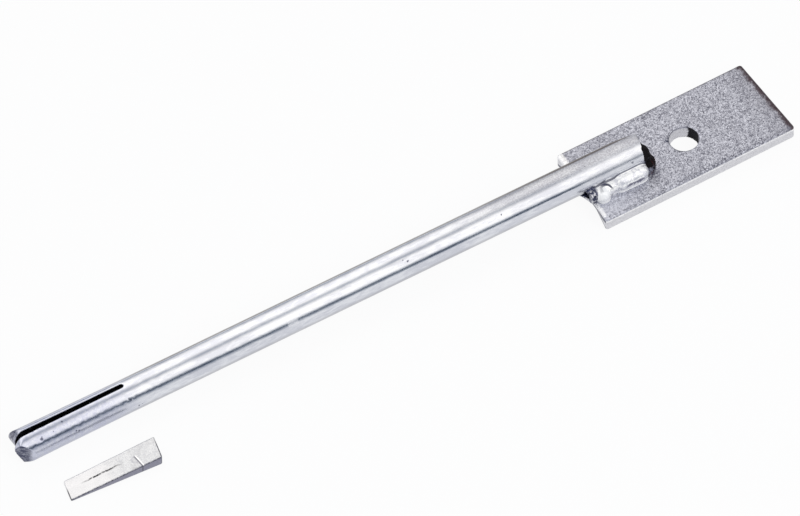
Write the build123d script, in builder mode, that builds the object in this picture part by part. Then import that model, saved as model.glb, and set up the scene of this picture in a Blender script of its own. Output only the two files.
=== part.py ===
from build123d import *
import os
from math import asin, atan2, cos, degrees, hypot, radians, sin, tan

# Foundation bolt: a round bar split at one end for a wedge, welded at the other end to a drilled flat bar.
# It is modelled as it lies on a level floor, with its loose wedge beside the split end. Lengths are in mm.
# Origin: the hole's axis at the plate's underside. +X runs along the bar towards the plate and +Z is up.
# The plane called bolt lies in the plate's underside, with its x straight below the bar's axis.

# Round bar
rod_diameter = 16.0
rod_length = 332.3
rod_end_round = 0.7

# Split end of the bar: a slot, a skewed crop with a round nose, and a slanted bevel on the front leg
slot_width = 2.6
slot_length = 57.0
slot_turn = 10.0
crop_angle = 24.0
nose_radius = 7.0
nose_rise = 0.3
front_leg_lead = 1.7
bevel_angle = 47.0
bevel_slant = 14.0

# Anchor plate, cut from flat bar with ends slightly out of square and welded on slightly askew
# Its hole lies a little in front of the bar's line.
plate_length = 102.5
plate_width = 45.0
plate_thickness = 8.0
plate_corner = 1.4
plate_edge_round = 1.2
left_end_skew = 0.4
right_end_skew = 1.8
plate_turn = 0.7
hole_diameter = 14.0
hole_from_end = 46.7
hole_offset = 0.9
hole_rim_round = 0.6
rod_lap = 31.6

# Weld beads in the two grooves between bar and plate, each a thin root, a thicker lobe and a round drop
bead_inset = 0.4
bead_out = 0.9
bead_up = 2.8
root_radius = 3.4
lobe_start = 11.7
lobe_radius = 4.6
lobe_end_radius = 4.0
tail_length = 3.0
drop_radius = 3.5
drop_from_end = 7.1
drop_out = 2.6
drop_up = 2.4

# Weld under the bar on the plate's left end
throat_run = 7.0
throat_drop = 5.2
throat_sink = 1.2
throat_rise = 2.5
throat_hollow = 1.8

# Heaped weld on the plate across the bar's end
heap_reach = 6.3
heap_half_width = 9.2
heap_offset = 2.8
heap_sink = 1.0

# Loose wedge
wedge_length = 47.0
wedge_thin_width = 11.2
wedge_thick_width = 12.2
wedge_thin_end = 1.4
wedge_thick_end = 5.6
wedge_end_skew = 1.9
wedge_edge_round = 0.4
wedge_past_tip = 10.3
wedge_gap = 14.6
wedge_turn = -2.2

rod_radius = rod_diameter / 2
rod_z = plate_thickness + rod_radius
plate_left = hole_from_end - plate_length
rod_end_x = plate_left + rod_lap
tip_x = rod_end_x - rod_length

# The bolt rests on the bar's tip and on the rounded left bottom edge of the plate, so it leans
tip_recess = rod_radius * tan(radians(crop_angle))
rest_run = plate_left + plate_edge_round - tip_x - tip_recess
rest_drop = plate_thickness - plate_edge_round
lean = atan2(rest_drop, rest_run) + asin(plate_edge_round / hypot(rest_run, rest_drop))
bolt = Plane(origin=(0, hole_offset, 0), x_dir=(cos(lean), 0, sin(lean)), z_dir=(-sin(lean), 0, cos(lean)))
floor_z = bolt.from_local_coords((tip_x + tip_recess, 0, plate_thickness)).Z
up = Axis((0, 0, 0), bolt.z_dir)

# The slot's planes: plan looks along the slot's depth, side looks square to its walls
rod_tip = bolt.from_local_coords((tip_x, 0, rod_z))
slot_up = bolt.z_dir.rotate(Axis((0, 0, 0), bolt.x_dir), -slot_turn)
slot_plan = Plane(origin=rod_tip, x_dir=bolt.x_dir, z_dir=slot_up)
slot_side = Plane(origin=rod_tip, x_dir=bolt.x_dir, z_dir=bolt.x_dir.cross(slot_up))


# A plane square to the bar, with its x to the back and its y up
def cross_plane(x, z):
    return Plane(origin=bolt.from_local_coords((x, 0, z)), x_dir=bolt.y_dir, z_dir=bolt.x_dir)


# A plane level with the plate, with its x along the bar and its y to the back
def level_plane(x, y, z):
    return Plane(origin=bolt.from_local_coords((x, y, z)), x_dir=bolt.x_dir, z_dir=bolt.z_dir)


# Round bar with its slot, skewed crop and bevelled front leg
with BuildPart() as split_rod:
    with BuildSketch(cross_plane(rod_end_x, rod_z)):
        Circle(rod_radius)
    extrude(amount=-rod_length - rod_diameter)
    fillet(split_rod.edges().sort_by(Axis.X)[-1], rod_end_round)
    with BuildSketch(slot_plan):
        with Locations((slot_length - slot_width / 2, 0)):
            Circle(slot_width / 2)
            Rectangle(slot_length + rod_diameter, slot_width, align=(Align.MAX, Align.CENTER))
    extrude(amount=rod_diameter, both=True, mode=Mode.SUBTRACT)
    crop_slope = tan(radians(crop_angle))
    nose_top = rod_radius + nose_rise
    for lead, side in ((0, -1), (front_leg_lead, 1)):
        low_end = (-lead + rod_diameter * crop_slope, -rod_diameter)
        nose_corner = (-lead - nose_top * crop_slope, nose_top)
        nose_end = (-lead + rod_diameter, nose_top)
        with BuildSketch(slot_side):
            with BuildLine():
                FilletPolyline(low_end, nose_corner, nose_end, radius=nose_radius)
                Polyline(
                    nose_end,
                    (-lead + rod_diameter, rod_diameter),
                    (-lead - rod_diameter, rod_diameter),
                    (-lead - rod_diameter, -rod_diameter),
                    low_end,
                )
            make_face()
        extrude(amount=side * rod_diameter, mode=Mode.SUBTRACT)
    bevel_run = rod_diameter * tan(radians(bevel_angle))
    with BuildSketch(slot_plan.rotated((0, -bevel_slant, 0))):
        with Locations((-front_leg_lead, -slot_width / 2)):
            with BuildLine():
                Polyline(
                    (0, 0),
                    (bevel_run, -rod_diameter),
                    (-rod_diameter, -rod_diameter),
                    (-rod_diameter, 0),
                    close=True,
                )
            make_face()
    extrude(amount=rod_diameter, both=True, mode=Mode.SUBTRACT)
split_rod.part.label = "split_rod"

# Drilled plate with rounded corners and edges
underside = Plane(origin=bolt.origin, x_dir=bolt.x_dir.rotate(up, plate_turn), z_dir=bolt.z_dir)
with BuildPart() as anchor_plate:
    with BuildSketch(underside):
        with BuildLine():
            Polyline(
                (plate_left - left_end_skew / 2, -plate_width / 2),
                (hole_from_end + right_end_skew / 2, -plate_width / 2),
                (hole_from_end - right_end_skew / 2, plate_width / 2),
                (plate_left + left_end_skew / 2, plate_width / 2),
                close=True,
            )
        make_face()
    extrude(amount=plate_thickness)
    fillet(anchor_plate.edges().filter_by(up), plate_corner)
    flats = anchor_plate.faces().sort_by(up)
    fillet(flats[0].edges() + flats[-1].edges(), plate_edge_round)
    with Locations(level_plane(0, -hole_offset, plate_thickness)):
        Hole(hole_diameter / 2)
    rims = anchor_plate.edges().filter_by(GeomType.CIRCLE)
    fillet(rims.filter_by(lambda rim: rim.radius == hole_diameter / 2).sort_by(up)[-1], hole_rim_round)
anchor_plate.part.label = "anchor_plate"

# Weld beads along the front and back of the bar
bead_length = rod_lap - 2 * bead_inset
tail_x = bead_length - tail_length
beads = []
for name, side in (("front_weld_bead", -1), ("back_weld_bead", 1)):
    groove = level_plane(plate_left + bead_inset, side * (rod_radius + bead_out), plate_thickness + bead_up)
    with BuildPart() as bead:
        with BuildSketch(groove):
            with BuildLine():
                Polyline((bead_length, 0), (0, 0), (0, root_radius), (lobe_start, root_radius))
                lobe_top = ((lobe_start + tail_x) / 2, lobe_radius)
                ThreePointArc((lobe_start, root_radius), lobe_top, (tail_x, lobe_end_radius))
                EllipticalCenterArc((tail_x, 0), tail_length, lobe_end_radius, arc_size=90)
            make_face()
        revolve(axis=Axis(groove.origin, groove.x_dir))
        drop_place = (plate_left + drop_from_end, side * (rod_radius + drop_out), plate_thickness + drop_up)
        with Locations(bolt.from_local_coords(drop_place)):
            Sphere(drop_radius)
        add(split_rod.part, mode=Mode.SUBTRACT)
        add(anchor_plate.part, mode=Mode.SUBTRACT)
    bead.part.label = name
    beads.append(bead)

# Weld flaring from the bar's underside onto the plate's left end
throat_centre = bolt.from_local_coords((plate_left, 0, rod_z))
with BuildPart() as plate_end_weld:
    with BuildSketch(Plane(origin=throat_centre, x_dir=bolt.x_dir, z_dir=bolt.y_dir)):
        with BuildLine():
            flare_start = (-throat_run, rod_radius - throat_sink)
            SagittaArc(flare_start, (0, rod_radius + throat_drop), throat_hollow)
            Polyline(
                (0, rod_radius + throat_drop),
                (plate_edge_round, rod_radius + throat_drop),
                (plate_edge_round, rod_radius - throat_sink),
                flare_start,
            )
        make_face()
    revolve(axis=Axis(throat_centre, bolt.x_dir))
    split(bisect_by=bolt.offset(plate_thickness + throat_rise), keep=Keep.BOTTOM)
    add(split_rod.part, mode=Mode.SUBTRACT)
    add(anchor_plate.part, mode=Mode.SUBTRACT)
    for bead in beads:
        add(bead.part, mode=Mode.SUBTRACT)
plate_end_weld.part.label = "plate_end_weld"

# Weld heaped across the bar's end, the upper part of an egg that lies across the plate
heap_core = level_plane(rod_end_x, -heap_offset, plate_thickness - heap_sink)
with BuildPart() as rod_end_weld:
    with BuildSketch(heap_core):
        with BuildLine():
            EllipticalCenterArc((0, 0), heap_reach, heap_half_width, start_angle=-90, arc_size=180)
            Line((0, heap_half_width), (0, -heap_half_width))
        make_face()
    revolve(axis=Axis(heap_core.origin, heap_core.y_dir))
    split(bisect_by=bolt.offset(plate_thickness), keep=Keep.TOP)
    split(bisect_by=cross_plane(rod_end_x - rod_end_round / 2, 0), keep=Keep.TOP)
    add(split_rod.part, mode=Mode.SUBTRACT)
    for bead in beads:
        add(bead.part, mode=Mode.SUBTRACT)
rod_end_weld.part.label = "rod_end_weld"

# Loose wedge, lying flat on the floor with its thin end near the split
wedge_y = hole_offset - rod_radius - wedge_gap - wedge_thin_width / 2
wedge_start = Plane(origin=(rod_tip.X + wedge_past_tip, wedge_y, floor_z)).rotated((0, 0, wedge_turn))
wedge_slope = atan2(wedge_thick_end - wedge_thin_end, wedge_length)
with BuildPart() as wedge:
    with BuildSketch(wedge_start):
        with BuildLine():
            Polyline(
                (-wedge_end_skew / 2, -wedge_thin_width / 2),
                (wedge_length - wedge_end_skew / 2, -wedge_thick_width / 2),
                (wedge_length + wedge_end_skew / 2, wedge_thick_width / 2),
                (wedge_end_skew / 2, wedge_thin_width / 2),
                close=True,
            )
        make_face()
    extrude(amount=2 * wedge_thick_end)
    wedge_top = Plane(
        origin=wedge_start.from_local_coords((0, 0, wedge_thin_end)),
        x_dir=wedge_start.y_dir,
        z_dir=wedge_start.z_dir.rotate(Axis((0, 0, 0), wedge_start.y_dir), -degrees(wedge_slope)),
    )
    split(bisect_by=wedge_top, keep=Keep.BOTTOM)
    fillet(wedge.edges(), wedge_edge_round)
wedge.part.label = "wedge"

os.makedirs("parts", exist_ok=True)
for piece in (split_rod, anchor_plate, *beads, plate_end_weld, rod_end_weld, wedge):
    export_step(piece.part, f"parts/{piece.part.label}.step")
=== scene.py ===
# Looks of a split foundation bolt: hot-dip galvanised steel on a pale floor, its loose wedge beside it.
from math import asin, atan2, cos, hypot, pi, radians, sin, tan

import bpy
import numpy as np
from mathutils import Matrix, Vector


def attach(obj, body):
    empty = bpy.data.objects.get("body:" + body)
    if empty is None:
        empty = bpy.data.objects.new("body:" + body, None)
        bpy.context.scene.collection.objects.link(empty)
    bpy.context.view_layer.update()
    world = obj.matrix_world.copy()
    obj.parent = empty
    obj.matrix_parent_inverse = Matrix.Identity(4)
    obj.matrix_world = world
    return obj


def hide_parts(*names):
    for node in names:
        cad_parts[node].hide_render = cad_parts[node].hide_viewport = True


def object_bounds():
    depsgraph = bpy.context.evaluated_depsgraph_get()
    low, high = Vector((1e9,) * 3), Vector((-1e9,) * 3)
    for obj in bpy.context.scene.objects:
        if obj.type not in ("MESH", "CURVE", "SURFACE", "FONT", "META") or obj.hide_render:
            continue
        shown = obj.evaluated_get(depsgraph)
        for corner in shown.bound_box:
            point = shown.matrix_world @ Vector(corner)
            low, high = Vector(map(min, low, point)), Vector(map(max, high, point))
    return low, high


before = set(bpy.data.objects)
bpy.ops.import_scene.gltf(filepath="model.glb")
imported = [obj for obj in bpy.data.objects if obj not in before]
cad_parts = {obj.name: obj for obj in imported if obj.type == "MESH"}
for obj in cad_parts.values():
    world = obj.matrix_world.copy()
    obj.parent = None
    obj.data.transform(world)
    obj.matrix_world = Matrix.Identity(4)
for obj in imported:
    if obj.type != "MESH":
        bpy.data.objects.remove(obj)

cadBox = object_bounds()
scene = bpy.context.scene
print("frame loaded:", ", ".join(sorted(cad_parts)))

# Sizes in mm and degrees, as in the part's source.
# The bolt's own frame has the plate level, the bar at y = 0 and the hole's axis at x = 0.
bolt = {
    "barRadius": 8.0, "barEnd": -24.2, "barTip": -356.5, "barEndRound": 0.7,
    "slotHalf": 1.3, "slotLength": 57.0, "slotTurn": 10.0,
    "cropAngle": 24.0, "noseRadius": 7.0, "noseRise": 0.3,
    "frontLead": 2.1, "bevelAngle": 45.0, "bevelSlant": 20.5,
    "plateLeft": -55.8, "plateRight": 46.7, "plateWidth": 45.0, "plateThick": 8.0,
    "plateCorner": 1.4, "plateRound": 1.2, "leftSkew": 0.4, "rightSkew": 1.8, "plateTurn": 0.7,
    "holeRadius": 7.0, "holeRound": 0.6, "holeOffset": 0.9,
}
barHeight = bolt["plateThick"] + bolt["barRadius"]
tipRecess = bolt["barRadius"] * tan(radians(bolt["cropAngle"]))
restRun = bolt["plateLeft"] + bolt["plateRound"] - bolt["barTip"] - tipRecess
restDrop = bolt["plateThick"] - bolt["plateRound"]
lean = atan2(restDrop, restRun) + asin(bolt["plateRound"] / hypot(restRun, restDrop))
floorLevel = cadBox[0][2]


# Camera, floor and light
viewValues = {
    "azimuth": -30.4,    # degrees, 0 looks along +Y
    "elevation": 52.32,
    "distance": 6.0,    # m, a long lens
    "pixelsPerMm": 2.16,
    "pictureWidth": 800,    # pixels
    "sensorWidth": 36.0,    # mm
    "farthest": 100.0,    # m
    "aim": (-159.64, 0.9, 8.0),    # mm
    "aimRight": 5.44,    # mm by which the view is then shifted
    "aimUp": 7.53,
}


def placeCamera(v):
    turn, rise = radians(v["azimuth"]), radians(v["elevation"])
    toCamera = Vector((cos(rise) * sin(turn), -cos(rise) * cos(turn), sin(rise)))
    right = Vector((cos(turn), sin(turn), 0))
    up = toCamera.cross(right)
    aim = (Vector(v["aim"]) + right * v["aimRight"] + up * v["aimUp"]) / 1000
    data = bpy.data.cameras.new("camera")
    data.sensor_width = v["sensorWidth"]
    data.lens = v["pixelsPerMm"] * 1000 * v["distance"] * v["sensorWidth"] / v["pictureWidth"]
    data.clip_end = v["farthest"]
    camera = bpy.data.objects.new("camera", data)
    camera.location = aim + toCamera * v["distance"]
    camera.rotation_euler = toCamera.to_track_quat("Z", "Y").to_euler()
    scene.collection.objects.link(camera)
    scene.camera = camera


# A wire is a socket of a node tree. Sums, products and powers of wires add Math nodes.
class Wire:
    def __init__(self, tree, socket):
        self.tree = tree
        self.socket = socket

    # any other node: its type, its settings and its inputs by name or index
    def node(self, kind, settings=None, inputs=None, out=0):
        return addNode(self.tree, kind, settings, inputs, out)

    def maths(self, operation, *others, clamp=False):
        settings = {"operation": operation, "use_clamp": clamp}
        return self.node("ShaderNodeMath", settings, dict(enumerate((self, *others))))

    def __add__(self, other):
        return self.maths("ADD", other)

    def __sub__(self, other):
        return self.maths("SUBTRACT", other)

    def __rsub__(self, other):
        return self.node("ShaderNodeMath", {"operation": "SUBTRACT"}, {0: other, 1: self})

    def __mul__(self, other):
        return self.maths("MULTIPLY", other)

    def __truediv__(self, other):
        return self.maths("DIVIDE", other)

    def __rtruediv__(self, other):
        return self.node("ShaderNodeMath", {"operation": "DIVIDE"}, {0: other, 1: self})

    def __pow__(self, other):
        return self.maths("POWER", other)

    def __abs__(self):
        return self.maths("ABSOLUTE")

    __radd__ = __add__
    __rmul__ = __mul__

    def most(self, other):
        return self.maths("MAXIMUM", other)

    # kept between 0 and 1
    def share(self):
        return self.maths("ADD", 0, clamp=True)

    # 0 below low, 1 above high, and smooth between
    def step(self, low, high):
        inputs = {"Value": self, "From Min": low, "From Max": high}
        return self.node("ShaderNodeMapRange", {"interpolation_type": "SMOOTHSTEP"}, inputs)

    # 1 below low and 0 above high
    def fade(self, low, high):
        return 1 - self.step(low, high)

    def parts(self):
        split = self.node("ShaderNodeSeparateXYZ", None, {0: self})
        return [Wire(self.tree, socket) for socket in split.socket.node.outputs]

    def noise(self, scale, detail, roughness, distortion=0.0):
        inputs = {"Vector": self, "Scale": scale, "Detail": detail, "Roughness": roughness,
                  "Distortion": distortion}
        return self.node("ShaderNodeTexNoise", None, inputs)

    # the colour at this value, on the way from one at 0 to another at 1; a Mix node's colours
    # are its sockets 6 and 7 and its output 2
    def between(self, first, second):
        return self.node("ShaderNodeMix", {"data_type": "RGBA"}, {0: self, 6: first, 7: second}, 2)

    # this colour, turned into another where the mask is 1
    def blend(self, mask, other):
        return mask.between(self, other)

    # this colour with a mark on it: a colour and its share, or its shares where a pattern is 0 and 1
    def marked(self, mask, mark, pattern=None):
        colour, share, *most = mark
        if pattern is not None:
            share = share + pattern * (most[0] - share)
        return self.blend(mask * share, colour)

    # how far this place is from a point
    def farFrom(self, point):
        return self.node("ShaderNodeVectorMath", {"operation": "DISTANCE"}, {0: self, 1: point}, "Value")


def addNode(tree, kind, settings=None, inputs=None, out=0):
    node = tree.nodes.new(kind)
    for key, value in (settings or {}).items():
        if key == "stops":
            ramp = node.color_ramp
            while len(ramp.elements) < len(value):
                ramp.elements.new(0.5)
            for element, (position, colour) in zip(ramp.elements, value):
                element.position = position
                element.color = (*colour, 1)
        else:
            setattr(node, key, value)
    for key, value in (inputs or {}).items():
        socket = node.inputs[key]
        if isinstance(value, Wire):
            tree.links.new(value.socket, socket)
        elif socket.type == "RGBA" and len(value) == 3:
            socket.default_value = (*value, 1)
        else:
            socket.default_value = value
    return Wire(tree, node.outputs[out] if node.outputs else None)


def newTree(owner):
    owner.use_nodes = True
    owner.node_tree.nodes.clear()
    return owner.node_tree


# 1 for the rays that show a backdrop: seen by the camera, in a reflection or through glass
def shownRays(tree):
    seen = addNode(tree, "ShaderNodeLightPath")
    sockets = seen.socket.node.outputs
    glossy = Wire(tree, sockets["Is Glossy Ray"])
    clear = Wire(tree, sockets["Is Transmission Ray"])
    return Wire(tree, sockets["Is Camera Ray"]).most(glossy).most(clear)


stageValues = {
    "floorSize": 8.0,    # m
    "floorColour": (0.86, 0.86, 0.87),
    "floorGlow": 0.93,    # share of plain white, so the floor is white and keeps a faint shadow
    "skyColour": (0.93, 0.95, 1.0),
    "skyStrength": 0.55,
    "tentRadius": 2.0,    # m
    "tentBright": 1.5,    # strength of the brightest panel
    "warmFrom": 0.9,    # strength below which a panel's light turns blue
    "coldRed": 0.3,    # share of red in the darkest light
    "warming": 0.76,
    "greenShare": 0.4,
    "tentDrift": 48.0,    # degrees per metre by which the front panel's edge rises along the bar
    "tentMiddle": 0.41,    # m along X, where tentStops hold as they are
    "driftEnd": (0.2, 0.35),    # half turns over which the drift ends
    "tentDim": 0.5,    # share that the back panel loses beyond the plate
    "dimAlong": (0.42, 0.62),    # m along X
    "dimOver": (0.5, 0.65),    # half turns
}

# Brightness of the light tent by the angle over the bar, from the front horizon to the back one
tentStops = (
    (0, 0.8), (4, 0.62), (8, 0.26), (12, 0.08), (16, 0.06), (19, 0.26), (23, 0.72), (28, 1.2),
    (33, 1.36), (56, 1.38), (63, 1.38), (70, 1.3), (77, 1.08), (84, 0.8), (91, 0.66), (98, 0.84),
    (105, 1.2), (113, 1.46), (138, 1.5), (147, 1.36), (157, 1.03), (168, 0.74), (180, 0.5),
)
lamps = (    # name, place and size in metres, power in watts
    ("front", (0.3, -1.5, 1.7), 1.6, 20),
    ("back", (-0.4, 1.2, 1.8), 1.4, 9),
)


def makeStage(v):
    half = v["floorSize"] / 2
    mesh = bpy.data.meshes.new("floor")
    corners = [(-half, -half), (half, -half), (half, half), (-half, half)]
    mesh.from_pydata([(x, y, floorLevel) for x, y in corners], [], [(0, 1, 2, 3)])
    floor = bpy.data.objects.new("floor", mesh)
    scene.collection.objects.link(floor)
    material = bpy.data.materials.new("pale_floor")
    tree = newTree(material)
    paint = addNode(tree, "ShaderNodeBsdfDiffuse", None, {"Color": v["floorColour"]})
    glow = addNode(tree, "ShaderNodeEmission", None, {"Color": (1, 1, 1), "Strength": 1.0})
    share = shownRays(tree) * v["floorGlow"]
    mixed = paint.node("ShaderNodeMixShader", None, {0: share, 1: paint, 2: glow})
    mixed.node("ShaderNodeOutputMaterial", None, {0: mixed})
    mesh.materials.append(material)

    scene.world = bpy.data.worlds.new("pale_sky")
    tree = newTree(scene.world)
    inputs = {"Color": v["skyColour"], "Strength": v["skyStrength"]}
    sky = addNode(tree, "ShaderNodeBackground", None, inputs)
    white = addNode(tree, "ShaderNodeBackground", None, {"Color": (1, 1, 1), "Strength": 1.0})
    mixed = sky.node("ShaderNodeMixShader", None, {0: shownRays(tree), 1: sky, 2: white})
    mixed.node("ShaderNodeOutputWorld", None, {0: mixed})

    # The tent is what the zinc mirrors: soft panels over the bar, with darker gaps between them
    bpy.ops.mesh.primitive_uv_sphere_add(segments=64, ring_count=32, radius=v["tentRadius"])
    tent = bpy.context.object
    tent.name = "light_tent"
    material = bpy.data.materials.new("tent_cloth")
    tree = newTree(material)
    x, y, z = addNode(tree, "ShaderNodeTexCoord", out="Object").parts()
    angle = z.maths("ARCTAN2", y * -1) / pi
    angle = angle + (x - v["tentMiddle"]) * v["tentDrift"] / 180 * angle.fade(*v["driftEnd"])
    stops = []
    for degrees, strength in tentStops:
        red = v["coldRed"] + v["warming"] * min(strength / v["warmFrom"], 1)
        green = v["greenShare"] + (1 - v["greenShare"]) * red
        level = strength / v["tentBright"]
        stops.append((degrees / 180, (level * red, level * green, level)))
    colour = angle.node("ShaderNodeValToRGB", {"stops": stops}, {0: angle})
    dim = 1 - x.step(*v["dimAlong"]) * angle.step(*v["dimOver"]) * v["tentDim"]
    glow = colour.node("ShaderNodeEmission", None, {"Color": colour, "Strength": dim * v["tentBright"]})
    nothing = addNode(tree, "ShaderNodeBsdfTransparent")
    overFloor = z.step(0.0, 0.002)
    mixed = glow.node("ShaderNodeMixShader", None, {0: overFloor, 1: nothing, 2: glow})
    mixed.node("ShaderNodeOutputMaterial", None, {0: mixed})
    tent.data.materials.append(material)
    for kind in ("camera", "diffuse", "shadow", "transmission", "volume_scatter"):
        setattr(tent, "visible_" + kind, False)

    for name, place, size, power in lamps:
        data = bpy.data.lights.new(name, "AREA")
        data.size = size
        data.energy = power
        lamp = bpy.data.objects.new(name, data)
        lamp.location = place
        lamp.rotation_euler = Vector(place).to_track_quat("Z", "Y").to_euler()
        lamp.visible_glossy = False
        scene.collection.objects.link(lamp)


placeCamera(viewValues)
makeStage(stageValues)
scene.view_settings.view_transform = "Standard"
print("camera, floor and light placed")


# Shapes: each is a distance in mm, below 0 inside the steel

# the overlap of two shapes, its edge rounded with radius r
def roundMax(a, b, r):
    return np.minimum(np.maximum(a, b), -r) + np.hypot(np.maximum(a + r, 0), np.maximum(b + r, 0))


# two shapes joined, the corner between them filled with radius r
def roundMin(a, b, r):
    return -roundMax(-a, -b, r)


# soft lumps of about one size, mostly between -1 and 1: a sum of waves in all directions
def lumps(p, size, seed, count=10):
    finest, coarsest, highest = 1.4, 0.7, 1.6
    draw = np.random.default_rng(seed)
    total = 0
    for _ in range(count):
        way = draw.normal(size=3)
        way *= 2 * pi / size * draw.uniform(coarsest, finest) / np.linalg.norm(way)
        total = total + np.sin(p @ way + draw.uniform(0, 2 * pi))
    return total / count ** 0.5 / highest


# dents at places on the surface, each (x, y, z, radius, depth)
def dented(d, p, dents):
    for x, y, z, radius, depth in dents:
        far = (p[:, 0] - x) ** 2 + (p[:, 1] - y) ** 2 + (p[:, 2] - z) ** 2
        d = d + depth * np.exp(-far / radius ** 2)
    return d


barValues = {
    "edge": 0.3,    # rounding of the slot's edges
    "cropRound": 0.35,    # rounding of the cropped tip's edges
    "spread": 0.45,    # by which each leg stands outward at the mouth
    "endSlant": 0.22,    # by which the sheared end over the plate is longer at the back, per mm
    "flat": 1.1,    # depth of the flat on that end's back
    "flatRound": 0.8,
    "flatLength": 14.0,
    "flatTurn": 33.0,    # degrees from the bar's back up to the middle of the flat
    # pits by place along the bar, degrees from its top towards the front, radius and depth
    "pits": (
        (-346.2, 41, 1.0, 0.1), (-345.7, 33, 0.5, 0.03), (-339.6, 34, 0.4, 0.03), (-333.8, 17, 0.5, 0.03),
        (-329.3, 66, 0.6, 0.08), (-327.9, 70, 0.5, 0.06), (-300.7, 46, 0.5, 0.04), (-299.6, 52, 0.5, 0.03),
        (-296.6, 87, 0.4, 0.03), (-294.8, 86, 0.4, 0.03), (-153.2, 27, 0.4, 0.02),
        (-151.5, 37, 0.5, 0.03), (-101.0, 34, 0.4, 0.02), (-54.1, 9, 0.5, 0.06), (-31.8, 69, 0.7, 0.12),
    ),
    "waves": 0.02,    # uneven zinc along the legs, which breaks up the reflections there
    "waveSize": 3.2,
    "waveCount": 16,
    "waveSeed": 5,
    "waveEnd": 70.0,    # mm from the tip
    "waveFade": 12.0,
}
tipAngles = [radians(bolt[key]) for key in ("slotTurn", "cropAngle", "bevelAngle", "bevelSlant")]


# a point of the bar's surface
def onBar(x, angle):
    turn = radians(angle)
    return x, -bolt["barRadius"] * sin(turn), barHeight + bolt["barRadius"] * cos(turn)


def barShape(p):
    v = barValues
    y, z = p[:, 1], p[:, 2] - barHeight
    along, overEnd = p[:, 0] - bolt["barTip"], p[:, 0] - bolt["barEnd"]
    turn, crop, bevel, slant = tipAngles

    # the place in a leg, with its spread taken out
    across = z * sin(turn) - y * cos(turn)
    spread = np.sign(across) * v["spread"] * np.clip(1 - along / bolt["slotLength"], 0, 1) ** 2
    across, y, z = across - spread, y + spread * cos(turn), z - spread * sin(turn)
    depth = y * sin(turn) + z * cos(turn)
    front = across > 0

    # the slanting crop with its rounded nose, and the bevel on the front leg
    start = along + np.where(front, bolt["frontLead"], 0)
    top, radius = bolt["barRadius"] + bolt["noseRise"], bolt["noseRadius"]
    skew = -(start + depth * tan(crop)) * cos(crop)
    x, up = start - radius / cos(crop) + (top - radius) * tan(crop), depth - top + radius
    atNose = (x < 0) & (up * cos(crop) > x * sin(crop))
    cut = np.where(atNose, np.hypot(x, up) - radius, skew)
    facet = (across - bolt["slotHalf"]) * tan(bevel) - start * cos(slant) - depth * sin(slant)
    cut = np.where(front, roundMax(cut, facet * cos(bevel), v["cropRound"]), cut)
    d = roundMax(np.hypot(y, z) - bolt["barRadius"], cut, v["cropRound"])

    # the end over the plate: a flat on its back, and the sheared face
    share = np.clip(1 + overEnd / v["flatLength"], 0, 1)
    flat = (v["flat"] + v["flatRound"]) * share - v["flatRound"]
    outward = y * cos(radians(v["flatTurn"])) + z * sin(radians(v["flatTurn"]))
    d = roundMax(d, outward - bolt["barRadius"] + flat, v["flatRound"])
    d = roundMax(d, overEnd - v["endSlant"] * np.maximum(y, 0), bolt["barEndRound"])

    inner = bolt["slotLength"] - bolt["slotHalf"]
    slot = bolt["slotHalf"] - np.hypot(np.maximum(along - inner, 0), across)
    d = roundMax(d, slot, v["edge"])
    legs = 1 / (1 + np.exp((along - v["waveEnd"]) / v["waveFade"]))
    d = d + v["waves"] * legs * lumps(p, v["waveSize"], v["waveSeed"], v["waveCount"])
    return dented(d, p, [(*onBar(x, angle), radius, deep) for x, angle, radius, deep in v["pits"]])


plateValues = {
    "wane": 2.6,    # by which the left end leans inward under the bar
    "waneEdge": 13.0,    # mm from the plate's sides over which that comes in
    "lowerRim": 0.25,    # rounding of the hole's lower rim
}


def plateShape(p):
    v = plateValues
    turn = radians(bolt["plateTurn"])
    x = p[:, 0] * cos(turn) + p[:, 1] * sin(turn)
    y = p[:, 1] * cos(turn) - p[:, 0] * sin(turn)
    z = p[:, 2]
    width, thick = bolt["plateWidth"], bolt["plateThick"]
    under = np.clip((width / 2 - np.abs(y)) / v["waneEdge"], 0, 1) * np.clip(1 - z / thick, 0, 1)
    left = bolt["plateLeft"] + bolt["leftSkew"] * y / width - x + v["wane"] * under
    right = x - bolt["plateRight"] + bolt["rightSkew"] * y / width
    outline = roundMax(np.abs(y) - width / 2, np.maximum(left, right), bolt["plateCorner"])
    slab = roundMax(outline, np.maximum(z - thick, -z), bolt["plateRound"])
    hole = bolt["holeRadius"] - np.hypot(p[:, 0], p[:, 1] + bolt["holeOffset"])
    return roundMax(slab, hole, np.where(z > thick / 2, bolt["holeRound"], v["lowerRim"]))


weldValues = {
    "inset": 0.4, "out": 0.9, "up": 2.8,    # the groove's line from the plate's end, bar and plate
    "rootRadius": 3.4, "rootLump": 3.2, "rootSeed": 7, "rootBlend": 0.5,
    "lobeRadius": 4.5, "backRadius": 3.3, "lobeStart": 11.7, "length": 30.8,
    "lobeLump": 9.0, "lobeSeed": 3, "lobeBlend": 0.4,
    "lump": 0.12,
    # middle of the drop from the plate's end, from the bar's side and above the plate
    "drop": (5.8, 2.6, 2.2), "dropRadius": 3.7, "backDrop": 2.5,
    "toe": 1.3,    # blend of the beads into the steel around them
    "lap": 0.8,    # depth to which a weld goes into the steel
    "reach": 2.6,    # distance to which the blend goes
    "sink": 0.02, "sinkStart": 0.15, "sinkSlope": 0.25,    # how the blend dips under the steel
}


# a weld blended into bar and plate, thinning out under their surface beyond its toe
def seated(weld, p, toe):
    v = weldValues
    host = np.minimum(barShape(p), plateShape(p))
    dip = v["sink"] + v["sinkSlope"] * np.maximum(weld - v["sinkStart"], 0)
    joined = roundMin(weld, host, toe) + dip
    return np.maximum(np.maximum(joined, -host - v["lap"]), weld - v["reach"])


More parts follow.
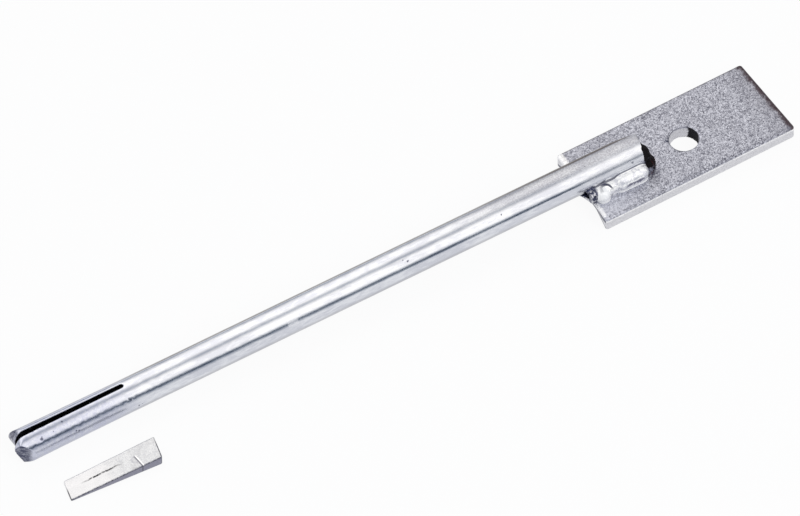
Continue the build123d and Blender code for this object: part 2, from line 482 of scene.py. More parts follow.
# side is -1 for the front bead and 1 for the back one
def beadShape(side):
    v = weldValues
    lobeRadius = v["lobeRadius"] if side < 0 else v["backRadius"]
    dropRadius = v["dropRadius"] if side < 0 else v["backDrop"]

    def shape(p):
        x = p[:, 0] - bolt["plateLeft"] - v["inset"]
        y = side * p[:, 1] - bolt["barRadius"] - v["out"]
        z = p[:, 2] - bolt["plateThick"] - v["up"]
        dropX, dropOut, dropUp = v["drop"]
        ball = [x + v["inset"] - dropX, y + v["out"] - dropOut, z + v["up"] - dropUp]
        drop = np.sqrt(sum(a ** 2 for a in ball)) - dropRadius
        start, end = v["lobeStart"] + v["lobeRadius"], v["length"] - v["lobeRadius"]
        lobe = np.sqrt((x - np.clip(x, start, end)) ** 2 + y ** 2 + z ** 2) - lobeRadius
        lobe = lobe + v["lump"] * lumps(p, v["lobeLump"], v["lobeSeed"] + side)
        root = np.hypot(y, z) - v["rootRadius"] + v["lump"] * lumps(p, v["rootLump"], v["rootSeed"] + side)
        root = np.maximum(root, np.abs(x - v["lobeStart"] / 2) - v["lobeStart"] / 2 - 1)
        bead = roundMin(roundMin(drop, lobe, v["lobeBlend"]), root, v["rootBlend"])
        return seated(bead, p, v["toe"])
    return shape


throatValues = {
    "run": 7.0,    # mm that it reaches along the bar
    "drop": 5.2,    # mm that it hangs down at the plate
    "flare": 1.9,    # power of its hollow curve
    "sink": 1.2,    # mm into the bar where it starts
    "rise": 2.5, "topSlope": 1.2,    # its top over the plate, and how far that falls
    "under": 3.5,    # mm that it goes in under the plate's end
    "topRound": 1.0, "endRound": 0.8, "toe": 0.8,
    "lumpSize": 4.0, "lump": 0.12, "seed": 11,
}


def throatShape(p):
    v = throatValues
    x = p[:, 0] - bolt["plateLeft"]
    share = np.clip((x + v["run"]) / v["run"], 0, 1)
    radius = bolt["barRadius"] - v["sink"] + (v["drop"] + v["sink"]) * share ** v["flare"]
    d = np.hypot(p[:, 1], p[:, 2] - barHeight) - radius
    d = roundMax(d, p[:, 2] - bolt["plateThick"] - v["rise"] + v["topSlope"] * share, v["topRound"])
    d = np.maximum(roundMax(d, x - v["under"], v["endRound"]), -x - v["run"])
    return seated(d + v["lump"] * lumps(p, v["lumpSize"], v["seed"]), p, v["toe"])


heapValues = {
    "reach": 6.3, "halfWidth": 8.4, "offset": 2.2, "sink": 1.0,
    "behind": 1.5, "behindRound": 0.3,    # how far it goes back into the bar's end
    "lump": 0.35, "lumpSize": 3.6, "seed": 21, "toe": 0.4,
    # scale that climbs the bar's end face
    "smear": 3.0, "smearHeight": 8.2, "smearWidth": 4.6, "smearLow": 1.6, "smearOffset": 4.0,
    "smearInset": 0.1, "smearBlend": 0.6,
}


def heapShape(p):
    v = heapValues
    x, y, z = p[:, 0] - bolt["barEnd"], p[:, 1], p[:, 2] - barHeight
    high = p[:, 2] - bolt["plateThick"] + v["sink"]
    egg = np.hypot(np.hypot(x, high) / v["reach"], (y + v["offset"]) / v["halfWidth"]) - 1
    upright = np.hypot(x / v["smear"], (z + v["smearLow"]) / v["smearHeight"])
    smear = np.hypot(upright, (y + v["smearOffset"]) / v["smearWidth"]) - 1
    inBar = np.hypot(y, z) - bolt["barRadius"] + v["smearInset"]
    heap = roundMin(egg * v["reach"], np.maximum(smear * v["smear"], inBar), v["smearBlend"])
    heap = heap + v["lump"] * lumps(p, v["lumpSize"], v["seed"])
    return seated(roundMax(heap, -x - v["behind"], v["behindRound"]), p, v["toe"])


wedgeValues = {
    "length": 47.0, "thinWidth": 11.2, "thickWidth": 12.2, "thinEnd": 1.4, "thickEnd": 5.6, "skew": 1.9,
    "pastTip": 10.3, "gap": 14.6, "turn": -2.2,    # where it lies, from the bar's tip and front
    "corner": 0.8, "edge": 0.55, "lump": 0.1, "lumpSize": 7.0, "seed": 31,
}


def wedgeShape(p):
    v = wedgeValues
    x, y, z = p[:, 0], p[:, 1], p[:, 2]
    ends = np.abs(x - v["length"] / 2 - v["skew"] * y / v["thickWidth"]) - v["length"] / 2
    halfWidth = (v["thinWidth"] + (v["thickWidth"] - v["thinWidth"]) * x / v["length"]) / 2
    slope = atan2(v["thickEnd"] - v["thinEnd"], v["length"])
    top = (z - v["thinEnd"] - x * tan(slope)) * cos(slope) + v["lump"] * lumps(p, v["lumpSize"], v["seed"])
    outline = roundMax(np.abs(y) - halfWidth, ends, v["corner"])
    return roundMax(outline, np.maximum(top, -z), v["edge"])


# From a shape to a mesh
def grid(low, high, step):
    return np.linspace(low, high, int(round((high - low) / step)) + 1)


# faces through the grid cells that the surface crosses, evened out and drawn onto the surface
def netMesh(shape, xs, ys, zs):
    rounds, pull = 3, 0.5
    corners = np.stack(np.meshgrid(xs, ys, zs, indexing="ij"), -1)
    inside = shape(corners.reshape(-1, 3)).reshape(corners.shape[:3]) < 0
    count = sum(
        inside[i:i + len(xs) - 1, j:j + len(ys) - 1, k:k + len(zs) - 1].astype(int)
        for i in (0, 1) for j in (0, 1) for k in (0, 1)
    )
    mixed = (count > 0) & (count < 8)
    index = np.full(mixed.shape, -1)
    index[mixed] = np.arange(mixed.sum())
    cells = np.argwhere(mixed)
    points = np.stack([(a[:-1] + a[1:])[cells[:, n]] / 2 for n, a in enumerate((xs, ys, zs))], 1)
    quads = []
    for axis in range(3):
        size = inside.shape[axis]
        first = np.take(inside, range(size - 1), axis)
        cross = np.argwhere(first != np.take(inside, range(1, size), axis))
        one, two = (np.eye(3, dtype=int)[(axis + n) % 3] for n in (1, 2))
        ring = np.stack([index[tuple((cross - shift).T)] for shift in (one + two, two, 0 * one, one)], 1)
        outward = first[tuple(cross.T)]
        quads.append(np.where(outward[:, None], ring, ring[:, ::-1]))
    quads = np.concatenate(quads)
    edges = np.concatenate([quads[:, [n, (n + 1) % 4]] for n in range(4)])
    degree = np.bincount(edges[:, 0], minlength=len(points))[:, None]
    for _ in range(rounds):
        points = settle(points, shape)
        near = points[edges[:, 1]].T
        total = np.stack([np.bincount(edges[:, 0], part, len(points)) for part in near], 1)
        points = points + pull * (total / degree - points)
    for _ in range(rounds):
        points = settle(points, shape)
    return points, quads


# moves points along the slope, by no more than the longest move, onto the shape's surface
def settle(points, shape):
    small, longest, flattest = 0.02, 0.4, 0.3
    rise = [shape(points + shift) - shape(points - shift) for shift in np.eye(3) * small]
    slope = np.stack(rise, 1) / (2 * small)
    move = shape(points) / np.maximum((slope ** 2).sum(1), flattest)
    return points - slope * np.clip(move, -longest, longest)[:, None]


# from mm in the bolt's own frame to metres in the shared frame
def fromBolt(p):
    x = p[:, 0] * cos(lean) - p[:, 2] * sin(lean)
    z = p[:, 0] * sin(lean) + p[:, 2] * cos(lean)
    return np.stack([x, p[:, 1] + bolt["holeOffset"], z], 1) / 1000


# the middle of the wedge's thin end on the floor, in mm
def wedgeOrigin():
    v = wedgeValues
    tip = fromBolt(np.array([[bolt["barTip"], 0, barHeight]]))[0, 0] * 1000
    level = (bolt["barTip"] + tipRecess) * sin(lean) + bolt["plateThick"] * cos(lean)
    side = bolt["holeOffset"] - bolt["barRadius"] - v["gap"] - v["thinWidth"] / 2
    return tip + v["pastTip"], side, level


# from mm in the wedge's own frame to metres in the shared frame
def fromWedge(p):
    turn = radians(wedgeValues["turn"])
    x = p[:, 0] * cos(turn) - p[:, 1] * sin(turn)
    y = p[:, 0] * sin(turn) + p[:, 1] * cos(turn)
    return (np.stack([x, y, p[:, 2]], 1) + wedgeOrigin()) / 1000


# The coat on every surface: soft waves along the normal, and weld ripples where they are asked for
coatValues = {
    "detail": 3.0,
    "roughness": 0.45,
    "rippleBow": 0.06,    # mm of bow in a ripple for each square mm beside the bar's axis
    "rippleWander": 3.0,
}


def coatTree(v):
    tree = bpy.data.node_groups.new("zincCoat", "GeometryNodeTree")
    face = tree.interface
    face.new_socket("Geometry", in_out="INPUT", socket_type="NodeSocketGeometry")
    for name, value in (("Wave Height", 0.0), ("Wave Size", 5.0), ("Wave Stretch", 1.0),
                        ("Ripple Height", 0.0), ("Ripple Pitch", 1.6), ("Seed", 1.0)):
        socket = face.new_socket(name, in_out="INPUT", socket_type="NodeSocketFloat")
        socket.default_value = value
    face.new_socket("Finish", in_out="INPUT", socket_type="NodeSocketMaterial")
    face.new_socket("Geometry", in_out="OUTPUT", socket_type="NodeSocketGeometry")
    given = tree.nodes.new("NodeGroupInput").outputs
    take = {socket.name: Wire(tree, socket) for socket in given if socket.name}
    position = addNode(tree, "GeometryNodeInputPosition")
    place = position.node("ShaderNodeVectorMath", {"operation": "SCALE"}, {0: position, "Scale": 1000})
    x, y, z = place.parts()
    stretched = x.node("ShaderNodeCombineXYZ", None, {0: x / take["Wave Stretch"], 1: y, 2: z})
    inputs = {"Vector": stretched, "W": take["Seed"], "Scale": 1 / take["Wave Size"],
              "Detail": v["detail"], "Roughness": v["roughness"]}
    wave = stretched.node("ShaderNodeTexNoise", {"noise_dimensions": "4D"}, inputs) - 0.5
    bend = abs(y) ** 2 * v["rippleBow"] + wave * v["rippleWander"]
    ripple = ((x + bend) * (2 * pi) / take["Ripple Pitch"]).maths("SINE")
    height = (wave * 2 * take["Wave Height"] + ripple * take["Ripple Height"]) / 1000
    normal = addNode(tree, "GeometryNodeInputNormal")
    shift = normal.node("ShaderNodeVectorMath", {"operation": "SCALE"}, {0: normal, "Scale": height})
    moved = shift.node("GeometryNodeSetPosition", None, {"Geometry": take["Geometry"], "Offset": shift})
    whole = moved.node("GeometryNodeRealizeInstances", None, {"Geometry": moved})
    coated = whole.node("GeometryNodeSetMaterial", None, {"Geometry": whole, "Material": take["Finish"]})
    coated.node("NodeGroupOutput", None, {"Geometry": coated})
    return tree


# runs a Geometry Nodes tree on an object and keeps the result as its plain mesh
def applyTree(piece, tree, values):
    modifier = piece.modifiers.new("shape", "NODES")
    modifier.node_group = tree
    for item in tree.interface.items_tree:
        if item.in_out == "INPUT" and item.name in values:
            modifier[item.identifier] = values[item.name]
    depsgraph = bpy.context.evaluated_depsgraph_get()
    made = bpy.data.meshes.new_from_object(piece.evaluated_get(depsgraph))
    piece.modifiers.remove(modifier)
    piece.data = made
    made.name = piece.name
    made.shade_smooth()


def makePiece(name, points, quads, finish, coat):
    mesh = bpy.data.meshes.new(name)
    mesh.from_pydata(points.tolist(), [], quads.tolist())
    mesh.shade_smooth()
    piece = bpy.data.objects.new(name, mesh)
    scene.collection.objects.link(piece)
    applyTree(piece, zincCoat, {**coat, "Finish": finish})
    print(name, len(piece.data.polygons), "faces")
    return piece


# Finishes

# place in mm in the bolt's own frame, for patterns that follow the bar and the plate
def boltPlace(tree):
    place = addNode(tree, "ShaderNodeTexCoord", out="Object")
    shift = (0, -bolt["holeOffset"], 0)
    inputs = {"Vector": place, "Location": shift, "Rotation": (0, lean, 0), "Scale": (1000, 1000, 1000)}
    return place.node("ShaderNodeMapping", {"vector_type": "POINT"}, inputs)


# place in mm in the wedge's own frame, from the middle of its thin end
def wedgePlace(tree):
    place = addNode(tree, "ShaderNodeTexCoord", out="Object")
    origin = [part / 1000 for part in wedgeOrigin()]
    turn = (0, 0, radians(wedgeValues["turn"]))
    inputs = {"Vector": place, "Location": origin, "Rotation": turn, "Scale": (0.001, 0.001, 0.001)}
    return place.node("ShaderNodeMapping", {"vector_type": "TEXTURE"}, inputs)


navy = (0.025, 0.03, 0.075)    # bare or shaded spots in the zinc
zincValues = {
    "bar_zinc": {
        "light": (0.735, 0.75, 0.795), "dull": (0.585, 0.6, 0.66), "roughness": 0.15, "roughSpread": 0.06,
        "grainScale": 0.9, "grain": 0.016, "stretch": 4.0, "worm": 0.0, "cloud": 0.6,
    },
    "plate_zinc": {
        "light": (0.66, 0.675, 0.76), "dull": (0.16, 0.162, 0.205), "roughness": 0.33, "roughSpread": 0.06,
        "grainScale": 1.3, "grain": 0.03, "stretch": 1.0, "worm": 0.06, "cloud": 0.2,
    },
    "weld_zinc": {
        "light": (0.84, 0.845, 0.86), "dull": (0.62, 0.63, 0.68), "roughness": 0.14, "roughSpread": 0.05,
        "grainScale": 0.7, "grain": 0.012, "stretch": 3.0, "worm": 0.0, "cloud": 0.6,
    },
    "wedge_zinc": {
        "light": (0.66, 0.67, 0.69), "dull": (0.49, 0.5, 0.53), "roughness": 0.36, "roughSpread": 0.1,
        "grainScale": 0.5, "grain": 0.015, "stretch": 1.5, "worm": 0.01, "cloud": 0.6,
    },
}
grainValues = {    # what all zinc has in common
    "cloudScale": 0.16, "cloudEdge": (0.42, 0.6),
    "ridgeScale": 0.85, "ridgeBend": 1.1, "ridgeNarrow": 6.0, "ridgeEdge": (0.2, 0.8),
    "ridgeShare": 0.65,
}


# colour, roughness and height in mm of zinc: soft clouds, streaks along X, and worm-like ridges
def zincLook(place, v):
    grain = grainValues
    x, y, z = place.parts()
    streaked = x.node("ShaderNodeCombineXYZ", None, {0: x / v["stretch"], 1: y, 2: z})
    cloud = streaked.noise(grain["cloudScale"], 4, 0.6)
    fine = streaked.noise(v["grainScale"], 3, 0.6)
    ridge = place.noise(grain["ridgeScale"], 1.0, 0.5, grain["ridgeBend"])
    ridge = 1 - abs(ridge - 0.5) * grain["ridgeNarrow"]
    mask = (cloud * v["cloud"] + fine * (1 - v["cloud"])).step(*grain["cloudEdge"])
    if v["worm"]:
        share = grain["ridgeShare"]
        mask = mask * (1 - share) + ridge.step(*grain["ridgeEdge"]) * share
    roughness = v["roughness"] + (cloud - 0.5) * 2 * v["roughSpread"]
    return mask.between(v["dull"], v["light"]), roughness, fine * v["grain"] + ridge * v["worm"]


def finishSteel(colour, roughness, height, metallic=1.0, shine=0.5):
    bump = height.node("ShaderNodeBump", None, {"Strength": 1.0, "Distance": 0.001, "Height": height})
    inputs = {"Base Color": colour, "Roughness": roughness, "Metallic": metallic, "Normal": bump,
              "Specular IOR Level": shine}
    steel = bump.node("ShaderNodeBsdfPrincipled", None, inputs)
    steel.node("ShaderNodeOutputMaterial", None, {0: steel})


def zincMaterial(name, marks, where):
    material = bpy.data.materials.new(name)
    place = where(newTree(material))
    colour, roughness, height = zincLook(place, zincValues[name])
    colour, roughness, metallic = marks(place, colour, roughness)
    finishSteel(colour, roughness, height, metallic)
    return material


# In these dictionaries a mark is a colour and its share, or its shares where a pattern is 0 and 1.
# In the functions, ranges are in mm, or parts of 1 for noises.
plateLook = {
    "pale": ((0.68, 0.7, 0.79), 0.45),    # the top's left part
    "shade": ((0.17, 0.165, 0.2), 1.0),    # its right part
    "rightRim": ((0.05, 0.025, 0.03), 0.85),
    "frontRim": ((0.1, 0.1, 0.13), 0.6),
    "backRim": ((0.13, 0.1, 0.1), 0.6),
    "heapShadow": ((0.06, 0.06, 0.1), 0.7),    # painted shadow around the bar's end, beside the weld heap
    "edgeGlint": ((0.93, 0.93, 0.95), 1.0),    # painted highlight on the left edge
    "frontGlint": ((0.97, 0.97, 0.98), 0.8),    # painted highlight along the front side's upper edge
    # painted shade at the foot of the left end
    "footShade": (navy, 0.85),
    "endFace": (navy, 0.9),
    "wall": ((0.3, 0.3, 0.36), 0.25),    # painted shade inside the hole
    "shadow": ((0.004, 0.004, 0.008), 1.0),
    "smudge": (navy, 0.85),    # beside the hole
    "sides": ((0.52, 0.52, 0.56), (0.76, 0.76, 0.79)),    # their speckle
    "edgeGlintMatt": 0.6,    # share by which the painted highlight on the left edge is less metallic
    "heapShadowPlace": (-22.5, -11.0),
    "smudgePlace": (-7.2, 2.2, 8.0),
    "shadowTurn": 12.0,    # degrees from +X to the middle of the hole's shadow
}


# a dull speckled top over brighter sides, a dark reddish rim at the right end, a shadow in the hole
def plateMarks(place, colour, roughness):
    v = plateLook
    x, y, z = place.parts()
    dots = place.noise(1.1, 2, 0.6)
    ragged = place.noise(0.35, 3, 0.6) - 0.5
    left, half, thick = bolt["plateLeft"], bolt["plateWidth"] / 2, bolt["plateThick"]
    tilt = tan(radians(bolt["plateTurn"]))
    toRight = x + y * (tilt + bolt["rightSkew"] / bolt["plateWidth"]) - bolt["plateRight"]
    toFront = x * tilt - y - half
    toBack = y - x * tilt - half
    toLeft = left - x
    onTop = z.step(thick - 1.7, thick - 1)

    # the top
    top = colour.marked((x + y * 0.8).fade(-66, -40), v["pale"])
    behindBar = y.step(7, 10) * x.fade(-34, -20)
    shade = toRight.step(-16, 0) * 0.38 + behindBar * 0.15 + ragged * 0.4
    top = top.marked(shade.share(), v["shade"])
    top = top.marked((toRight + ragged * 5).step(-3.6, -1.2), v["rightRim"])
    top = top.marked(toFront.step(-2.1, -1.6) * dots.step(0.46, 0.6), v["frontRim"])
    top = top.marked(toBack.step(-1.0, -0.6), v["backRim"])
    # painted shadow, speckled, on the top around the bar's end
    heapShadowX, heapShadowY = v["heapShadowPlace"]
    heapShadow = (((x - heapShadowX) ** 2 + (y - heapShadowY) ** 2) * 0.9 + ragged * 60).fade(2, 24)
    top = top.marked(heapShadow * dots.step(0.3, 0.6), v["heapShadow"])
    # painted highlight on the top's back-left corner and along its left edge
    corner = toLeft.step(-3.4, -2.2) * y.step(7, 10) * 0.8
    edgeGlint = (toLeft + ragged * 5).step(-2.8, -1.6) * y.fade(-10, -8) * toFront.fade(-3.0, -1.6)
    top = top.marked(corner.most(edgeGlint), v["edgeGlint"])

    # the sides with a painted highlight along the front's upper edge, painted shade at the foot of the
    # left end, and the left end
    colour = dots.between(*v["sides"]).blend(onTop, top)
    # painted highlight: a speckled white band along the front side's upper edge
    frontGlint = z.step(5.4, 5.9) * z.fade(6.5, 6.9) * dots.step(0.35, 0.55) * toFront.step(-1.5, -0.8)
    colour = colour.marked(frontGlint, v["frontGlint"])
    # painted shade along the foot of the left end, higher where the end leans in under the bar
    middle = (1 - (abs(y) - 9.5) / plateValues["waneEdge"]).share()
    footShade = (z + ragged - middle * 3.6).fade(1.4, 2.2) * toFront.fade(-1.0, -0.5)
    colour = colour.marked(x.fade(left + 2.8, left + 3.6) * footShade, v["footShade"])
    endFace = x.fade(left + 2, left + 2.6) * z.fade(7.1, 7.5) * y.fade(-9, -8)
    endFace = endFace * (toFront * -1).step(0.4, 0.9)
    run = abs(z - 6 + ragged) - y * 0.17 - 4.4
    colour = colour.marked(endFace * run.fade(0.0, 0.5), v["endFace"])

    # the hole
    side, radius = y + bolt["holeOffset"], bolt["holeRadius"]
    fromAxis = (x * x + side * side) ** 0.5
    wall = fromAxis.fade(radius + 0.2, radius + 0.5) * z.fade(thick - 0.4, thick - 0.1)
    turn = radians(v["shadowTurn"])
    away = (x * cos(turn) + side * sin(turn)) / radius + ragged * 0.35
    black = wall * away.step(0.78, 0.86)
    # painted shade on the hole's wall, and its painted shadow side
    colour = colour.marked(wall, v["wall"]).marked(black, v["shadow"])
    smudge = place.farFrom(v["smudgePlace"]).fade(0.6, 3.0)
    colour = colour.marked(smudge * dots.step(0.36, 0.56), v["smudge"])
    return colour, roughness.most(black), 1 - black.most(onTop * edgeGlint * v["edgeGlintMatt"])


scaleLook = {
    "colours": ((0.004, 0.003, 0.004), (0.06, 0.014, 0.014)),    # black scale and its rusty foot
    "grey": ((0.24, 0.25, 0.32), 0.8),    # zinc that took at its front
    "roughness": 0.5, "roughSpread": 0.3, "bump": 0.35, "shine": 0.1,
}


def scaleMaterial(name):
    v = scaleLook
    material = bpy.data.materials.new(name)
    place = boltPlace(newTree(material))
    _, y, z = place.parts()
    burnt = place.noise(0.5, 4, 0.65, 0.6)
    colour = (burnt.step(0.48, 0.68) * z.fade(9, 13)).between(*v["colours"])
    grey = (burnt * 5 - y).step(10.8, 12.2) * place.noise(0.9, 2, 0.6).step(0.36, 0.56)
    colour = colour.marked(grey, v["grey"])
    finishSteel(colour, v["roughness"] + burnt * v["roughSpread"], burnt * v["bump"], 0.0, v["shine"])
    return material


barLook = {
    "below": ((0.24, 0.24, 0.27), 0.55),    # painted shade on the lower side
    "legs": ((0.45, 0.47, 0.6), 1.0),
    "legEdge": ((0.15, 0.15, 0.18), 0.4, 0.8),   # painted shade along the back leg's outer edge
    "matt": ((0.3, 0.29, 0.33), 0.1, 0.5),    # the dull top over the plate
    "line": ((0.06, 0.034, 0.042), 0.5, 1.0),    # dark line behind it
    "rim": ((0.1, 0.08, 0.065), 0.55, 0.95),    # painted shade along the bar's back edge
    "facet": (navy, 1.0),
    "nose": ((0.11, 0.11, 0.15), 0.5, 0.95),    # the back leg's cropped end
    "pit": (navy, 0.8),
    # painted black shade inside the slot
    "slot": ((0.003, 0.003, 0.005), 1.0),
    "glint": ((0.9, 0.9, 0.92), 0.6),    # painted glint, a short bright patch
    "mattRough": 0.2, "plateRough": 0.1, "legsRough": 0.16,    # added to the roughness
    "glintMatt": 0.5,
    # where marks come in or end, in mm along X
    "legsEnd": (-316, -290), "legEdgeEnd": (-312, -298), "rimStart": (-320, -280),
    "mattStart": (-150, -56), "lineStart": (-120, -56), "plateStart": (-66, -52),
    "glintPlace": (-213.8, -6.5),
}


# painted black shade inside the slot, a mottled facet at the tip, dark pits, painted shade below and along
# the back, a painted glint, and duller zinc over the plate
def barMarks(place, colour, roughness):
    v = barLook
    x, y, z = place.parts()
    z = z - barHeight
    mottled = place.noise(0.7, 3, 0.65, 0.6)
    ragged = mottled - 0.5
    slotHalf, fromTip = bolt["slotHalf"], x - bolt["barTip"]
    turn, crop, bevel, slant = tipAngles
    across = z * sin(turn) - y * cos(turn)
    spread = (1 - fromTip / bolt["slotLength"]).share() ** 2 * barValues["spread"]
    across = across - spread * across.maths("SIGN")
    depth = y * sin(turn) + z * cos(turn)

    # bands along the bar
    # painted shade on the bar's lower side
    colour = colour.marked(z.fade(-2.2, 0.5), v["below"])
    legs = x.fade(*v["legsEnd"]) * (0.35 + mottled.step(0.35, 0.65) * 0.45)
    colour = colour.marked(legs, v["legs"])
    # painted shade along the back leg's outer edge
    legEdge = x.fade(*v["legEdgeEnd"]) * y.step(4.8, 5.6) * z.step(1.0, 3.0)
    colour = colour.marked(legEdge, v["legEdge"], mottled)
    matt = x.step(*v["mattStart"]) * y.step(-4.0, -1.5)
    colour = colour.marked(matt, v["matt"], place.noise(1.3, 2, 0.6).step(0.42, 0.58))
    line = x.step(*v["lineStart"]) * y.step(3.2, 4.2) * y.fade(5.2, 6.0)
    colour = colour.marked(line, v["line"], mottled)
    # painted shade along the bar's back edge
    rim = x.step(*v["rimStart"]) * y.step(3.9, 4.7) * z.step(1.0, 3.0)
    colour = colour.marked(rim, v["rim"], mottled)

    # the two legs' ends
    facet = (across - slotHalf) * sin(bevel) - depth * sin(slant) * cos(bevel)
    facet = facet - (fromTip + bolt["frontLead"]) * cos(slant) * cos(bevel)
    facet = facet.step(-0.5, -0.2) * across.step(slotHalf, slotHalf + 0.4)
    facet = facet * (fromTip + ragged * 3).fade(2.6, 4.6)
    slotSide = across.fade(slotHalf + 0.6, slotHalf + 1.4)
    facet = facet * (0.66 + mottled.step(0.42, 0.56) * 0.3).most(slotSide * 0.95)
    colour = colour.marked(facet, v["facet"])
    nose = (fromTip + depth * tan(crop)) * cos(crop) + ragged * 2
    nose = nose.fade(4.4, 6.0) * across.fade(-0.5, 0.5)
    colour = colour.marked(nose, v["nose"], mottled.step(0.42, 0.58))

    # pits, painted shade inside the slot, and a painted glint
    for along, angle, radius, _ in barValues["pits"]:
        pit = (place.farFrom(onBar(along, angle)) + ragged * 1.6).fade(radius * 0.4, radius * 1.1)
        colour = colour.marked(pit, v["pit"])
    # painted black shade inside the slot, under the bar's skin
    underSkin = bolt["barRadius"] - 0.3 - (y * y + z * z) ** 0.5
    inside = (slotHalf + 0.2 - abs(across)).step(0.0, 0.2) * underSkin.step(0.0, 0.25)
    colour = colour.marked(inside, v["slot"])
    # painted glint: a short bright patch that breaks the dark reflected line
    glintX, glintY = v["glintPlace"]
    glint = abs(x - glintX).fade(2.2, 3.2) * abs(y - glintY).fade(0.5, 0.9)
    colour = colour.marked(glint, v["glint"])
    roughness = roughness + matt * v["mattRough"] + x.step(*v["plateStart"]) * v["plateRough"]
    roughness = roughness + legs * z.fade(2.6, 4.2) * v["legsRough"]
    return colour, roughness.most(inside), 1 - glint * v["glintMatt"]


weldLook = {
    "pale": ((0.97, 0.975, 0.98), 1.0),    # painted highlight: the drop and the beads painted pale
    "patches": ((0.42, 0.43, 0.53), 0.55),
    "streak": ((0.1, 0.1, 0.18), 0.85),    # dark line along the bead's outer side
    # painted highlight along the bead's lower toe
    "toe": ((0.97, 0.97, 0.98), 1.0),
    "creaseShade": (navy, 0.85),    # painted shade where the bead meets the bar
    "ring": (navy, 0.35, 0.95),    # around the drop
    "curl": (navy, 0.85),
    "pits": (navy, 1.0),    # dark pits by the plate's end, with painted shade on the throat weld there
    "paleRough": 0.16, "paleMatt": 0.35, "whiteMatt": 0.9,
    "ringPlace": (1.6, 0.2, 0.5), "curlPlace": (5.2, 1.2, 1.6),    # from the middle of the drop
    "blotPlace": (0.7, -10.3, 2.0),    # from the plate's end, the bar's axis and the plate's top
}


# beads and drop painted pale as a highlight, with a dark streak and painted crease shade along the bar,
# dark lines around the drop, and dark pits with painted shade by the plate's end
def weldMarks(place, colour, roughness):
    v = weldLook
    x, y, z = place.parts()
    side = abs(y)
    mottled = place.noise(0.55, 3, 0.6, 0.6)
    ragged = mottled - 0.5
    start, top = bolt["plateLeft"], bolt["plateThick"]
    along = x - start
    reach, out, up = weldValues["drop"]
    centre = Vector((start + reach, -bolt["barRadius"] - out, top + up))
    mirrored = x.node("ShaderNodeCombineXYZ", None, {0: x, 1: side * -1, 2: z})
    throat = along.fade(2.4, 4.2)
    drop = mirrored.farFrom(centre).fade(3.9, 4.3)
    # painted highlight: the drop and the beads painted pale and made less metallic
    pale = drop.most(1 - throat)
    colour = colour.marked(pale, v["pale"])
    colour = colour.marked(mottled.step(0.44, 0.6) * along.step(10, 13), v["patches"])
    streak = abs(z - 11.4 + ragged * 3).fade(0.3, 0.9) * side.step(12.2, 12.8)
    streak = streak * along.step(16, 19) * along.fade(26, 28)
    colour = colour.marked(streak, v["streak"])
    # painted highlight: a white streak along the bead's lower toe
    toe = z.fade(9.6, 10.3) * side.step(11.6, 12.2) * along.step(8, 10)
    colour = colour.marked(toe, v["toe"])
    overBar = (y * y + (z - barHeight) ** 2) ** 0.5 - bolt["barRadius"]
    # painted shade in the crease where the bead meets the bar
    creaseShade = (overBar + ragged * 0.5 - along.fade(12, 19) * 0.3).fade(0.2, 0.5)
    colour = colour.marked(creaseShade, v["creaseShade"])
    ring = mirrored.farFrom(centre + Vector(v["ringPlace"])) + ragged * 0.6
    ring = ring.step(3.5, 3.75) * ring.fade(4.1, 4.5) * side.fade(11.0, 12.4)
    colour = colour.marked(ring, v["ring"], (x - centre.x).step(-1, 2))
    curl = mirrored.farFrom(centre + Vector(v["curlPlace"])) + ragged
    colour = colour.marked(curl.fade(0.6, 1.2), v["curl"])
    # dark pits with painted shade on the throat weld by the plate's end
    blot = mirrored.farFrom(Vector(v["blotPlace"]) + Vector((start, 0, top))).fade(1.2, 2.2)
    pits = throat * (1 - drop) * (0.35 + mottled.step(0.43, 0.53) * 0.6).most(blot)
    colour = colour.marked(pits, v["pits"])
    matt = (pale * v["paleMatt"]).most(drop.most(toe) * v["whiteMatt"])
    return colour, roughness + pale * v["paleRough"], 1 - matt


wedgeLook = {
    "thinPart": ((0.71, 0.71, 0.73), 0.8),    # the brighter thin half
    "blots": ((0.46, 0.46, 0.48), 0.5),
    "side": ((0.22, 0.22, 0.29), 0.75, 1.05),
    "outline": ((0.06, 0.06, 0.09), 0.45, 0.9),
    "thinEdge": ((0.04, 0.04, 0.05), 0.85),
    "thickEdge": ((0.07, 0.07, 0.1), 0.8),
    "scratch": ((0.02, 0.02, 0.025), 0.35, 1.0),
    # painted shade and painted highlight on the two sides of the groove
    "grooveShade": ((0.1, 0.1, 0.13), 0.75),
    "grooveHighlight": ((0.97, 0.97, 0.98), 0.9),
    "curl": ((0.3, 0.3, 0.35), 0.6),
    "groovePlace": 35.6, "curlPlace": (34.6, -1.0, 4.4), "curlRadius": 1.7,
}


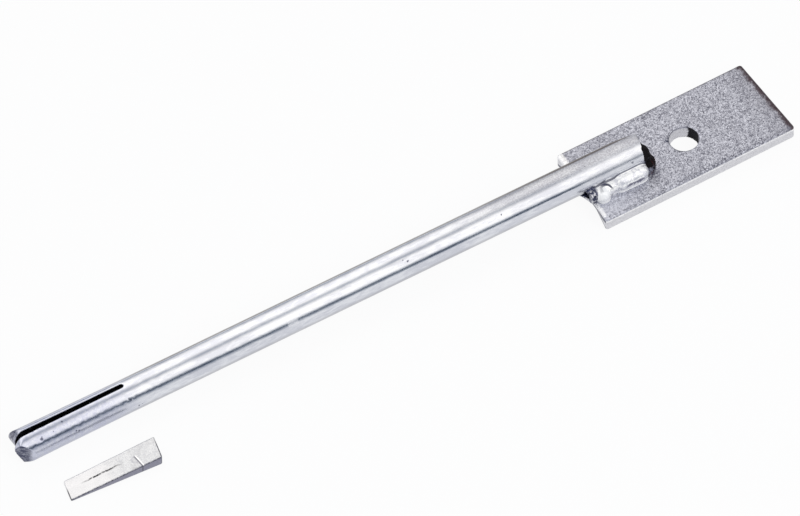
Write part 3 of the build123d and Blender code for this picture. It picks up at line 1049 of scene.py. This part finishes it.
# dark ends and outlines, a violet side, a long scratch, and a groove painted as a line of shade beside a
# line of highlight, with a curl beside it
def wedgeMarks(place, colour, roughness):
    v, look = wedgeValues, wedgeLook
    x, y, z = place.parts()
    blots = place.noise(0.3, 3, 0.6)
    dots = place.noise(0.9, 2, 0.6)
    halfWidth = x * ((v["thickWidth"] - v["thinWidth"]) / v["length"] / 2) + v["thinWidth"] / 2
    below = x * ((v["thickEnd"] - v["thinEnd"]) / v["length"]) + v["thinEnd"] - z
    toFront = y * -1 - halfWidth
    toEnd = x - y * (v["skew"] / v["thickWidth"])
    side = toFront.step(-0.35, -0.1) * below.step(0.1, 0.35)
    outline = below.fade(0.4, 0.75).most(z.fade(0.3, 0.6)) * toFront.step(-0.5, -0.25)
    colour = colour.marked(x.fade(14, 30), look["thinPart"])
    colour = colour.marked(blots.step(0.5, 0.7) * x.step(22, 34), look["blots"])
    colour = colour.marked(side, look["side"], dots)
    colour = colour.marked(outline, look["outline"], dots.step(0.4, 0.6))
    colour = colour.marked(toEnd.fade(0.25, 0.6) * y.fade(-1.5, 2.5), look["thinEdge"])
    thickEdge = (toEnd - v["length"]).step(-0.8, -0.4) * y.fade(0.5, 4.0)
    colour = colour.marked(thickEdge, look["thickEdge"])
    scratch = abs(y - 0.4 + (blots - 0.5) * 1.2).fade(0.26, 0.56) * x.step(6, 14) * x.fade(22, 30)
    colour = colour.marked(scratch, look["scratch"], dots.step(0.36, 0.5))
    groove = x - look["groovePlace"] + (y - 0.8) * 0.15
    # painted shade on one side of the groove and painted highlight on the other
    colour = colour.marked(abs(groove + 0.65).fade(0.2, 0.5) * y.fade(0.4, 1.2), look["grooveShade"])
    light = abs(groove).fade(0.1, 0.35) * y.fade(0.6, 1.3) * (1 - side)
    colour = colour.marked(light, look["grooveHighlight"])
    curl = abs(place.farFrom(look["curlPlace"]) - look["curlRadius"] + (dots - 0.5) * 0.8)
    colour = colour.marked(curl.fade(0.2, 0.7) * groove.fade(-0.4, 0) * dots, look["curl"])
    return colour, roughness, 1.0


barZinc = zincMaterial("bar_zinc", barMarks, boltPlace)
plateZinc = zincMaterial("plate_zinc", plateMarks, boltPlace)
weldZinc = zincMaterial("weld_zinc", weldMarks, boltPlace)
wedgeZinc = zincMaterial("wedge_zinc", wedgeMarks, wedgePlace)
weldScale = scaleMaterial("weld_scale")
print("finishes made")

# Pieces
zincCoat = coatTree(coatValues)
coat = {"Wave Height": 0.035, "Wave Size": 6.0, "Wave Stretch": 2.0, "Seed": 4.0}
rippled = {**coat, "Wave Height": 0.02, "Ripple Height": 0.004, "Ripple Pitch": 1.9}
pieces = {}


def addPiece(name, node, shape, axes, finish, place=fromBolt, coating=coat):
    points, quads = netMesh(shape, *axes)
    piece = makePiece(name, place(points), quads, finish, coating)
    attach(piece, "root")
    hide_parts(node)
    pieces[name] = piece


# Grids in mm, finer at the bar's ends and the slot's inner end. They reach past each shape.
top, left, right = bolt["plateThick"], bolt["plateLeft"], bolt["plateRight"]
tip, end = bolt["barTip"], bolt["barEnd"]
mouth, inner = tip + 12, tip + bolt["slotLength"]
across = grid(-8.5, 8.5, 0.46)
along = np.unique(np.concatenate([
    grid(tip - 6, mouth, 0.42), grid(mouth, inner - 4, 0.75), grid(inner - 4, inner + 3, 0.42),
    grid(inner + 3, end - 3, 0.85), grid(end - 3, end + 3, 0.42),
]))
addPiece("split_bar", "split_rod", barShape, (along, across, across + barHeight), barZinc)
axes = (grid(left - 1.5, right + 1.5, 0.7), grid(-24, 24, 0.7), grid(-0.5, top + 0.5, 0.45))
addPiece("drilled_plate", "anchor_plate", plateShape, axes, plateZinc)
for name, node, side in (("front_bead", "front_weld_bead", -1), ("back_bead", "back_weld_bead", 1)):
    beside = np.sort(side * grid(0.6, 18, 0.3))
    axes = (grid(left - 5, end + 4, 0.32), beside, grid(top - 6, top + 11, 0.3))
    addPiece(name, node, beadShape(side), axes, weldZinc, coating=rippled)
axes = (grid(left - 12, left + 9, 0.35), grid(-18, 18, 0.35), grid(-0.5, top + 7, 0.35))
addPiece("throat_weld", "plate_end_weld", throatShape, axes, weldZinc)
axes = (grid(end - 5, end + 10, 0.3), grid(-16, 14, 0.3), grid(top - 2, top + 19, 0.3))
addPiece("end_heap", "rod_end_weld", heapShape, axes, weldScale)
axes = (grid(-2, 50, 0.4), grid(-8, 8, 0.4), grid(-0.5, 7, 0.3))
addPiece("loose_wedge", "wedge", wedgeShape, axes, wedgeZinc, fromWedge)
print("pieces made:", ", ".join(pieces))
